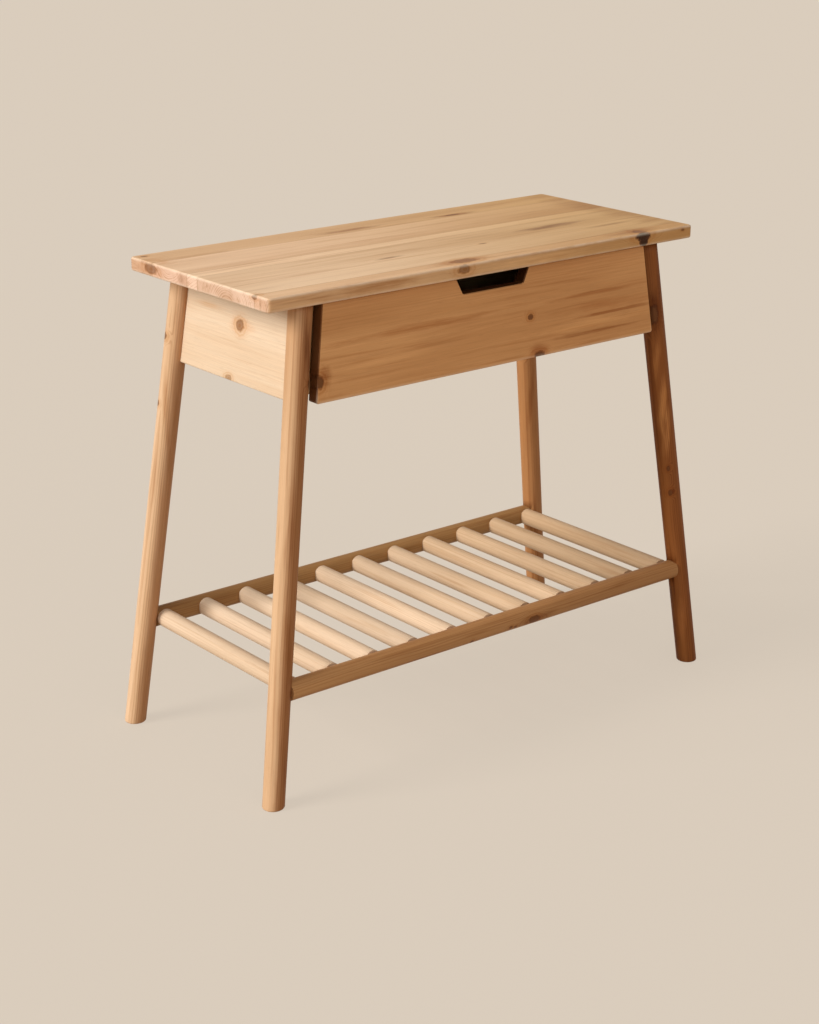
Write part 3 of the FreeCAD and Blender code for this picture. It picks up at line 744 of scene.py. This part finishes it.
# Each leg: its wood, how strong its painted shade is, its knots and its marks
legs = {
    "leg_back_left": (pale_leg_wood, 0.8, [
        ((-0.356, 0.157, 0.609), (0.006, 0.006, 0.005), 0.8),
        ((-0.369, 0.163, 0.508), (0.004, 0.004, 0.004), 0.9),
    ], [
        ((-0.366, 0.145, 0.520), (0.006, 0.008, 0.140), (0.78, 0.66, 0.56)),
    ]),
    "leg_front_left": (leg_wood, 0.95, [
        ((-0.328, -0.162, 0.600), (0.005, 0.005, 0.006), 1.0),
    ], [
        ((-0.331, -0.166, 0.650), (0.010, 0.010, 0.060), (0.50, 0.37, 0.29)),
        ((-0.390, -0.186, 0.220), (0.008, 0.008, 0.200), (0.80, 0.68, 0.56)),
    ]),
    "leg_front_right": (dark_leg_wood, 0.35, [
        ((0.330, -0.166, 0.596), (0.008, 0.008, 0.014), 1.0),
        ((0.364, -0.178, 0.343), (0.0022, 0.004, 0.004), 1.0),
        ((0.369, -0.181, 0.302), (0.0032, 0.005, 0.005), 1.0),
    ], [
        ((0.332, -0.164, 0.600), (0.016, 0.016, 0.060), (0.50, 0.42, 0.36)),
        ((0.351, -0.173, 0.455), (0.007, 0.012, 0.060), (2.0, 2.5, 3.0)),
        ((0.360, -0.176, 0.405), (0.006, 0.012, 0.050), (1.8, 2.2, 2.7)),
        ((0.400, -0.188, 0.090), (0.008, 0.010, 0.070), (1.5, 1.6, 1.8)),
        ((0.340, -0.166, 0.530), (0.006, 0.008, 0.040), (1.5, 1.7, 1.9)),
    ]),
    "leg_back_right": (warm_leg_wood, 0.45, [
        ((0.352, 0.150, 0.470), (0.004, 0.004, 0.006), 0.8),
    ], [
        ((0.362, 0.150, 0.400), (0.006, 0.010, 0.100), (0.76, 0.64, 0.54)),
    ]),
}


def names_with(word):
    return [name for name in nodes if word in name]


def mesh_data(mesh, name):
    """Mesh data made from a working mesh, which is freed."""
    data = bpy.data.meshes.new(name)
    mesh.to_mesh(data)
    mesh.free()
    return data


def into_scene(name, data):
    item = bpy.data.objects.new(name, data)
    bpy.context.scene.collection.objects.link(item)
    return item


def body_of(name):
    """The body that carries a CAD node."""
    return next(body for body, members in frame["record"]["behaviour"]["bodies"].items()
                if name in members)


def dress(material, *names):
    """Gives CAD nodes a finish."""
    for name in names:
        node = nodes[name]
        node.data.materials.clear()
        node.data.materials.append(material)


# Pieces that take the place of their CAD nodes

def merged_copy(name):
    """A CAD node's mesh with its loose triangles joined up."""
    mesh = bmesh.new()
    mesh.from_mesh(nodes[name].data)
    bmesh.ops.remove_doubles(mesh, verts=mesh.verts, dist=merge_distance)
    return mesh


def hand_over(mesh, name, ending, body, material):
    """Makes a finished piece of a mesh, on its body and in the place of its CAD node."""
    data = mesh_data(mesh, name + ending)
    data.shade_smooth()
    data.set_sharp_from_angle(angle=sharp_angle)
    data.materials.append(material)
    piece = into_scene(name + ending, data)
    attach(piece, body)
    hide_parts(name)


def on_floor(vertex):
    return vertex.co.z < floor_tolerance


def sole_edges(mesh):
    return [edge for edge in mesh.edges if all(on_floor(v) for v in edge.verts)]


def ease_foot(name, material):
    """A leg with the sharp edge of its foot rounded off."""
    mesh = merged_copy(name)
    sole = [vertex for vertex in mesh.verts if on_floor(vertex)]
    bmesh.ops.dissolve_limit(mesh, angle_limit=flat_foot_angle, verts=sole,
                             edges=sole_edges(mesh))
    bmesh.ops.bevel(mesh, geom=sole_edges(mesh), offset=foot_round, offset_type="OFFSET",
                    affect="EDGES", segments=4, profile=0.5, material=-1, clamp_overlap=True)
    hand_over(mesh, name, "_turned", "frame", material)


def ease_board(name, body, material):
    """A board with its long arrises sanded."""
    mesh = merged_copy(name)
    bmesh.ops.dissolve_limit(mesh, angle_limit=flat_board_angle, verts=mesh.verts,
                             edges=mesh.edges, delimit={"NORMAL"})
    arrises = [edge for edge in mesh.edges
               if edge.calc_length() > shortest_arris and edge.is_convex
               and edge.calc_face_angle(0.0) > sanded_angle]
    bmesh.ops.bevel(mesh, geom=arrises, offset=board_arris, offset_type="OFFSET",
                    affect="EDGES", segments=2, profile=0.5, material=-1, clamp_overlap=True)
    hand_over(mesh, name, "_sanded", body, material)


def loose_solids(mesh):
    """The separate solids of a mesh, each as a list of corner points."""
    met = set()
    for first in mesh.verts:
        if first in met:
            continue
        met.add(first)
        solid = [first]
        for vertex in solid:
            for edge in vertex.link_edges:
                other = edge.other_vert(vertex)
                if other not in met:
                    met.add(other)
                    solid.append(other)
        yield [vertex.co.copy() for vertex in solid]


def screw_places(name):
    """Where each screw of a node sits: head middle, way in, length, head and shank radius."""
    mesh = merged_copy(name)
    for points in loose_solids(mesh):
        low = Vector([min(p[i] for p in points) for i in range(3)])
        high = Vector([max(p[i] for p in points) for i in range(3)])
        middle = (low + high) / 2
        size = high - low
        along = max(range(3), key=lambda i: size[i])
        across = [i for i in range(3) if i != along]
        radii = {}
        for end in (low[along], high[along]):
            near = [p for p in points if abs(p[along] - end) < end_tolerance]
            radii[end] = max(math.dist([p[i] for i in across], [middle[i] for i in across])
                             for p in near)
        head, tip = sorted(radii, key=radii.get, reverse=True)
        start = middle.copy()
        start[along] = head
        way = Vector((0, 0, 0))
        way[along] = 1.0 if tip > head else -1.0
        yield start, way, size[along], radii[head], radii[tip]
    mesh.free()


def add_ring(mesh, edges, scale, drop):
    """Carries an open rim on to a smaller or larger one further down."""
    made = bmesh.ops.extrude_edge_only(mesh, edges=edges)["geom"]
    corners = [item for item in made if isinstance(item, bmesh.types.BMVert)]
    bmesh.ops.scale(mesh, vec=(scale, scale, 1.0), verts=corners)
    bmesh.ops.translate(mesh, vec=(0.0, 0.0, -drop), verts=corners)
    return [item for item in made if isinstance(item, bmesh.types.BMEdge)
            and all(v in corners for v in item.verts)]


def add_cross_recess(mesh, head_radius):
    """The middle of a screw's head with a cross sunk into it. Gives the outline's edges."""
    reach, half = head_radius * recess_reach, head_radius * recess_half_width
    grid = bmesh.ops.create_grid(mesh, x_segments=3, y_segments=3, size=reach)["verts"]
    # The grid's inner points move in to the width of the cross
    for vertex in grid:
        for i in (0, 1):
            if abs(vertex.co[i]) < reach * 0.9:
                vertex.co[i] = math.copysign(half, vertex.co[i])
    corners = set(grid)
    faces = [face for face in mesh.faces if all(v in corners for v in face.verts)]
    outline = [edge for edge in mesh.edges if edge.is_boundary
               and all(v in corners for v in edge.verts)]
    cross = [face for face in faces if min(abs(c) for c in face.calc_center_median().xy) < half]
    made = bmesh.ops.extrude_face_region(mesh, geom=cross)["geom"]
    floor = [item for item in made if isinstance(item, bmesh.types.BMVert)]
    bmesh.ops.translate(mesh, vec=(0.0, 0.0, -head_radius * recess_depth), verts=floor)
    bmesh.ops.scale(mesh, vec=(recess_floor, recess_floor, 1.0), verts=floor)
    lids = [face for face in cross if face.is_valid]
    bmesh.ops.delete(mesh, geom=lids, context="FACES")
    return outline


def add_screw(mesh, start, way, length, head_radius, shank_radius):
    """Countersunk wood screw with a cross recess, a plain neck, a thread and a point."""
    first = len(mesh.verts)
    outline = add_cross_recess(mesh, head_radius)
    rim = bmesh.ops.create_circle(mesh, cap_ends=False, radius=head_radius, segments=screw_sides)
    rim_edges = list(dict.fromkeys(edge for vertex in rim["verts"] for edge in vertex.link_edges))
    bmesh.ops.triangle_fill(mesh, edges=rim_edges + outline, use_beauty=True, use_dissolve=False)
    edge = add_ring(mesh, rim_edges, shank_radius / head_radius, head_radius - shank_radius)
    neck = length * neck_share
    point = shank_radius * point_radii_long
    edge = add_ring(mesh, edge, 1.0, neck)
    thread = length - (head_radius - shank_radius) - neck - point
    turns = max(fewest_turns, int(thread / thread_pitch))
    for turn in range(turns):
        edge = add_ring(mesh, edge, thread_root, thread / turns * thread_way_in)
        edge = add_ring(mesh, edge, 1.0 / thread_root, thread / turns * (1 - thread_way_in))
    edge = add_ring(mesh, edge, point_end, point)
    bmesh.ops.edgeloop_fill(mesh, edges=edge)
    mesh.verts.ensure_lookup_table()
    turned = way.to_track_quat("-Z", "Y").to_matrix().to_4x4()
    bmesh.ops.transform(mesh, matrix=Matrix.Translation(start) @ turned, space=Matrix.Identity(4),
                        verts=mesh.verts[first:])


def set_order(mesh):
    """Sorts corners and faces by place, because extruding leaves them in a chance order."""
    mesh.verts.sort(key=lambda vertex: vertex.co.dot(sorting_way))
    mesh.faces.sort(key=lambda face: face.calc_center_median().dot(sorting_way))


def drive_screws(material):
    """Screws with their real shape in the place of the plain ones."""
    for name in names_with("screw"):
        mesh = bmesh.new()
        for place in screw_places(name):
            add_screw(mesh, *place)
        bmesh.ops.recalc_face_normals(mesh, faces=mesh.faces)
        set_order(mesh)
        hand_over(mesh, name, "_driven", body_of(name), material)


# The finish of each piece

def finish_boards():
    """The top, the drawer's front and the three boards below the top."""
    dress(pine("pine_top", top_wood, along_x, pith=None, ring_width=0.0034, waver=0.012,
               knots=top_knots, marks=top_marks, box=top_box, staves=top_staves,
               shade=top_painted_falloff_and_end_tone), "top_panel")
    dress(pine("pine_drawer_front", front_wood, along_x, pith=(0.0, -0.085, 0.600),
               ring_width=0.0032, waver=0.012, knots=front_knots, marks=front_marks,
               box=front_box, shade=drawer_front_end_grain_and_painted_shade), "drawer_front")
    dress(pine("pine_left_side", side_wood, along_y, pith=(0.0, -0.30, 0.62),
               ring_width=0.0034, waver=0.010, knots=side_knots, marks=side_marks),
          "side_panel_left")
    dress(pine("pine_right_side", side_wood, along_y, pith=(0.0, 0.28, 0.52),
               ring_width=0.0032, waver=0.008, knots=other_side_knots), "side_panel_right")
    dress(pine("pine_back_board", side_wood, along_x, pith=(0.0, 0.09, 0.50),
               ring_width=0.0030, waver=0.010, knots=back_knots, marks=back_marks),
          "back_panel")


# How far a leg's pith lies beside its axis. Painted shade lies on the right and front of each
# leg, the side away from the key light, and starts at a wavering edge.
leg_pith = (0.022, 0.030)
shaded_side_direction = (0.78, -0.63)
painted_shade_waver = 0.012
painted_shade_edge = (0.000, 0.017)
painted_leg_shade_colour = colour(0.60, 0.41, 0.27)


def painted_leg_shade(side, depth, strength):
    """Painted shade: darker colour on the side of a leg that faces away from the key light."""
    foot = on_leg(leg_foot, side, depth)
    head = on_leg(leg_head, side, depth)

    def tone(tree, point):
        x, y, z = parts_of(tree, point)
        offsets = []
        for i, place in enumerate((x, y)):
            axis = maths(tree, "MULTIPLY_ADD", z, (head[i] - foot[i]) / head.z, foot[i])
            off_axis = maths(tree, "SUBTRACT", place, axis)
            offsets.append(times(tree, off_axis, shaded_side_direction[i]))
        place = maths(tree, "ADD", *offsets)
        drawn_out = vector_maths(tree, "MULTIPLY", point, (60.0, 60.0, 5.0))
        waver = noise(tree, drawn_out, scale=1.0, detail=2.0, roughness=0.5)
        place = maths(tree, "MULTIPLY_ADD", waver, painted_shade_waver, place)
        # Painted shade on the side of the leg away from the key light
        painted_shade_amount = times(tree, ramp(tree, place, *painted_shade_edge), strength)
        return tint(tree, "MIX", painted_shade_amount, white, painted_leg_shade_colour)

    return tone


def finish_legs():
    """Four legs of different wood, the front right one darkest and most figured."""
    for name, (wood, painted_shade_amount, knots, marks) in legs.items():
        side = 1 if name.endswith("right") else -1
        depth = 1 if "back" in name else -1
        pith = Vector((0.0, side * leg_pith[0], depth * leg_pith[1]))
        material = pine("pine_" + name, wood, along_leg(side, depth), pith, ring_width=0.0030,
                        waver=0.010, knots=knots, marks=marks,
                        shade=painted_leg_shade(side, depth, painted_shade_amount))
        ease_foot(name, material)


# Rungs: how far apart along the log two are cut, how far a pith may lie from its rung, and
# the tone of the darkest with its distance from the palest
rung_offset = 1.9
farthest_rung_pith = 0.04
darkest_rung = 0.93
rung_contrast = 0.14


def rung_shift(tree, board):
    """Each rung is cut from another piece of wood, told apart by its place along the rails."""
    along, x, z = parts_of(tree, board)
    number = maths(tree, "ROUND", maths(tree, "DIVIDE", x, rung_pitch))
    luck = parts_of(tree, chance(tree, number)["Color"])
    axis = times(tree, number, rung_pitch)
    shifted = vector_of(tree, maths(tree, "MULTIPLY_ADD", number, rung_offset, along), x, z)
    spread = 2 * farthest_rung_pith
    off_axis = maths(tree, "MULTIPLY_ADD", luck[0], spread, -farthest_rung_pith)
    pith_x = maths(tree, "ADD", axis, off_axis)
    pith_z = maths(tree, "MULTIPLY_ADD", luck[1], spread, rail_axis_height - farthest_rung_pith)
    tone = grey(tree, maths(tree, "MULTIPLY_ADD", luck[2], rung_contrast, darkest_rung))
    return shifted, vector_of(tree, 0.0, pith_x, pith_z), tone


def rung_painted_falloff(tree, point):
    """Painted light falloff: rungs are paler towards the left end of the shelf, nearer the key
    light.
    """
    place = ramp(tree, parts_of(tree, point)[0], -0.35, 0.40)
    return tint(tree, "MIX", place, colour(1.10, 1.14, 1.22), colour(0.90, 0.85, 0.78))


def finish_shelf():
    """Two rails and the rungs between them."""
    dress(pine("pine_front_rail", rail_wood, along_x, pith=(0.0, -0.150, 0.190),
               ring_width=0.0030, waver=0.010, knots=rail_knots, marks=rail_marks),
          "shelf_rail_front")
    dress(pine("pine_back_rail", back_rail_wood, along_x, pith=(0.0, 0.145, 0.150),
               ring_width=0.0030, waver=0.008), "shelf_rail_back")
    dress(pine("pine_rungs", rung_wood, along_y, pith=None, ring_width=0.0028, waver=0.006,
               staves=rung_shift, shade=rung_painted_falloff), *names_with("shelf_rung"))


def finish_drawer_box():
    """The drawer behind its front, and the battens that carry and guide it."""
    sides = pine("pine_drawer_sides", inner_wood, along_y, pith=(0.0, 0.20, 0.55),
                 ring_width=0.0030, waver=0.008)
    back = pine("pine_drawer_back", inner_wood, along_x, pith=(0.0, 0.05, 0.52),
                ring_width=0.0030, waver=0.008)
    battens = pine("pine_battens", inner_wood, along_y, pith=(0.0, 0.10, 0.62),
                   ring_width=0.0026, waver=0.006)
    for name in ("drawer_side_left", "drawer_side_right"):
        ease_board(name, "drawer", sides)
    ease_board("drawer_back", "drawer", back)
    for kind in ("guide", "runner", "kicker", "stop"):
        for side in ("left", "right"):
            ease_board(f"drawer_{kind}_{side}", "frame", battens)
    dress(plywood(), "drawer_bottom")


ply_pair = 0.0033
fine_relief = 0.0001
zinc_relief = 0.00003


def plywood():
    """Thin birch plywood: a pale peeled face, and plies that show on its edges."""
    material, tree, point = start_material("birch_plywood")
    face = streaky(tree, point, along=3.0, across=22.0, detail=4.0, roughness=0.6)
    pores = streaky(tree, point, along=60.0, across=900.0, detail=2.0, roughness=0.5)
    base = tint(tree, "MIX", ramp(tree, face, 0.35, 0.65),
                colour(0.780, 0.620, 0.430), colour(0.700, 0.520, 0.330))
    ply = maths(tree, "FRACT", maths(tree, "DIVIDE", parts_of(tree, point)[2], ply_pair))
    dark_ply = times(tree, ramp(tree, ply, 0.45, 0.55), 0.35)
    base = tint(tree, "MIX", dark_ply, base, colour(0.560, 0.380, 0.220))
    spots = times(tree, ramp(tree, pores, 0.62, 0.74), 0.3)
    base = tint(tree, "MIX", spots, base, colour(0.460, 0.290, 0.160))
    cover(tree, base, ramp(tree, pores, 0.2, 0.8, 0.58, 0.72), pores, fine_relief)
    return material


def beech():
    """Plain beech with its short dark flecks."""
    material, tree, point = start_material("beech_pegs")
    fleck = streaky(tree, point, along=900.0, across=260.0, detail=2.0, roughness=0.5)
    tone = noise(tree, point, scale=30.0, detail=2.0, roughness=0.5)
    base = tint(tree, "MIX", tone, colour(0.66, 0.44, 0.26), colour(0.74, 0.53, 0.34))
    flecks = times(tree, ramp(tree, fleck, 0.58, 0.72), 0.45)
    base = tint(tree, "MIX", flecks, base, colour(0.34, 0.18, 0.09))
    cover(tree, base, ramp(tree, fleck, 0.2, 0.8, 0.55, 0.7), fleck, fine_relief)
    return material


def zinc():
    """Bright zinc plate with faint yellow and grey clouds."""
    material, tree, point = start_material("zinc_plate")
    cloud = noise(tree, point, scale=420.0, detail=3.0, roughness=0.6)
    base = tint(tree, "MIX", ramp(tree, cloud, 0.35, 0.65),
                colour(0.62, 0.62, 0.60), colour(0.78, 0.75, 0.66))
    cover(tree, base, ramp(tree, cloud, 0.3, 0.7, 0.28, 0.44), cloud, zinc_relief, Metallic=1.0)
    return material


# Floor, camera and light

def make_floor():
    """A wide floor that takes the soft shadow and otherwise looks like the backdrop."""
    mesh = bmesh.new()
    bmesh.ops.create_grid(mesh, x_segments=1, y_segments=1, size=floor_reach)
    data = mesh_data(mesh, "floor")
    floor = into_scene("floor", data)
    material = bpy.data.materials.new("pale_floor")
    material.use_nodes = True
    tree = material.node_tree
    tree.nodes.remove(tree.nodes["Principled BSDF"])
    lit = tree.nodes.new("ShaderNodeBsdfDiffuse")
    feed_named(tree, lit, Color=colour(*[c * floor_paleness for c in backdrop_colour]))
    even = tree.nodes.new("ShaderNodeEmission")
    lit_light = lit_floor_share * floor_paleness * light_on_floor
    feed_named(tree, even, Color=colour(*backdrop_colour),
               Strength=(1 - lit_light) / (1 - lit_floor_share))
    share = times(tree, seen_as_backdrop(tree), 1.0 - lit_floor_share)
    mix = feed(tree, tree.nodes.new("ShaderNodeMixShader"), share, lit.outputs[0],
               even.outputs[0])
    feed_named(tree, tree.nodes["Material Output"], Surface=mix.outputs[0])
    data.materials.append(material)


def seen_as_backdrop(tree):
    """1 for rays that show the backdrop: from the camera, in gloss and through glass."""
    path = tree.nodes.new("ShaderNodeLightPath").outputs
    seen = maths(tree, "ADD", path["Is Camera Ray"], path["Is Glossy Ray"])
    seen = maths(tree, "ADD", seen, path["Is Transmission Ray"])
    return maths(tree, "MINIMUM", seen, 1.0)


def make_sky():
    """A dim even light from all round, seen as the backdrop's colour."""
    world = bpy.data.worlds.new("studio")
    world.use_nodes = True
    bpy.context.scene.world = world
    tree = world.node_tree
    sky = feed_named(tree, tree.nodes["Background"], Color=colour(*sky_colour),
                     Strength=sky_strength)
    even = feed_named(tree, tree.nodes.new("ShaderNodeBackground"), Color=colour(*backdrop_colour))
    mix = feed(tree, tree.nodes.new("ShaderNodeMixShader"), seen_as_backdrop(tree),
               sky.outputs[0], even.outputs[0])
    feed_named(tree, tree.nodes["World Output"], Surface=mix.outputs[0])


def make_lamp(name, direction, strength, softness, tone):
    lamp = bpy.data.lights.new(name, "SUN")
    lamp.energy = strength
    lamp.angle = softness
    lamp.color = tone
    item = into_scene(name, lamp)
    item.rotation_euler = direction.to_track_quat("-Z", "Y").to_euler()


def make_camera():
    data = bpy.data.cameras.new("camera")
    data.lens = camera_lens
    data.sensor_width = camera_sensor
    data.clip_end = camera_reach
    camera = into_scene("camera", data)
    camera.location = camera_place
    camera.rotation_euler = Euler((math.pi / 2 - camera_dip, 0.0, camera_turn))
    bpy.context.scene.camera = camera


bpy.context.scene.view_settings.view_transform = "Standard"
make_camera()
make_floor()
make_sky()
make_lamp("key", key_direction, key_strength, key_softness, key_colour)
make_lamp("fill", fill_direction, fill_strength, fill_softness, fill_colour)
finish_boards()
finish_legs()
finish_shelf()
finish_drawer_box()
dress(beech(), *names_with("dowels"))
drive_screws(zinc())
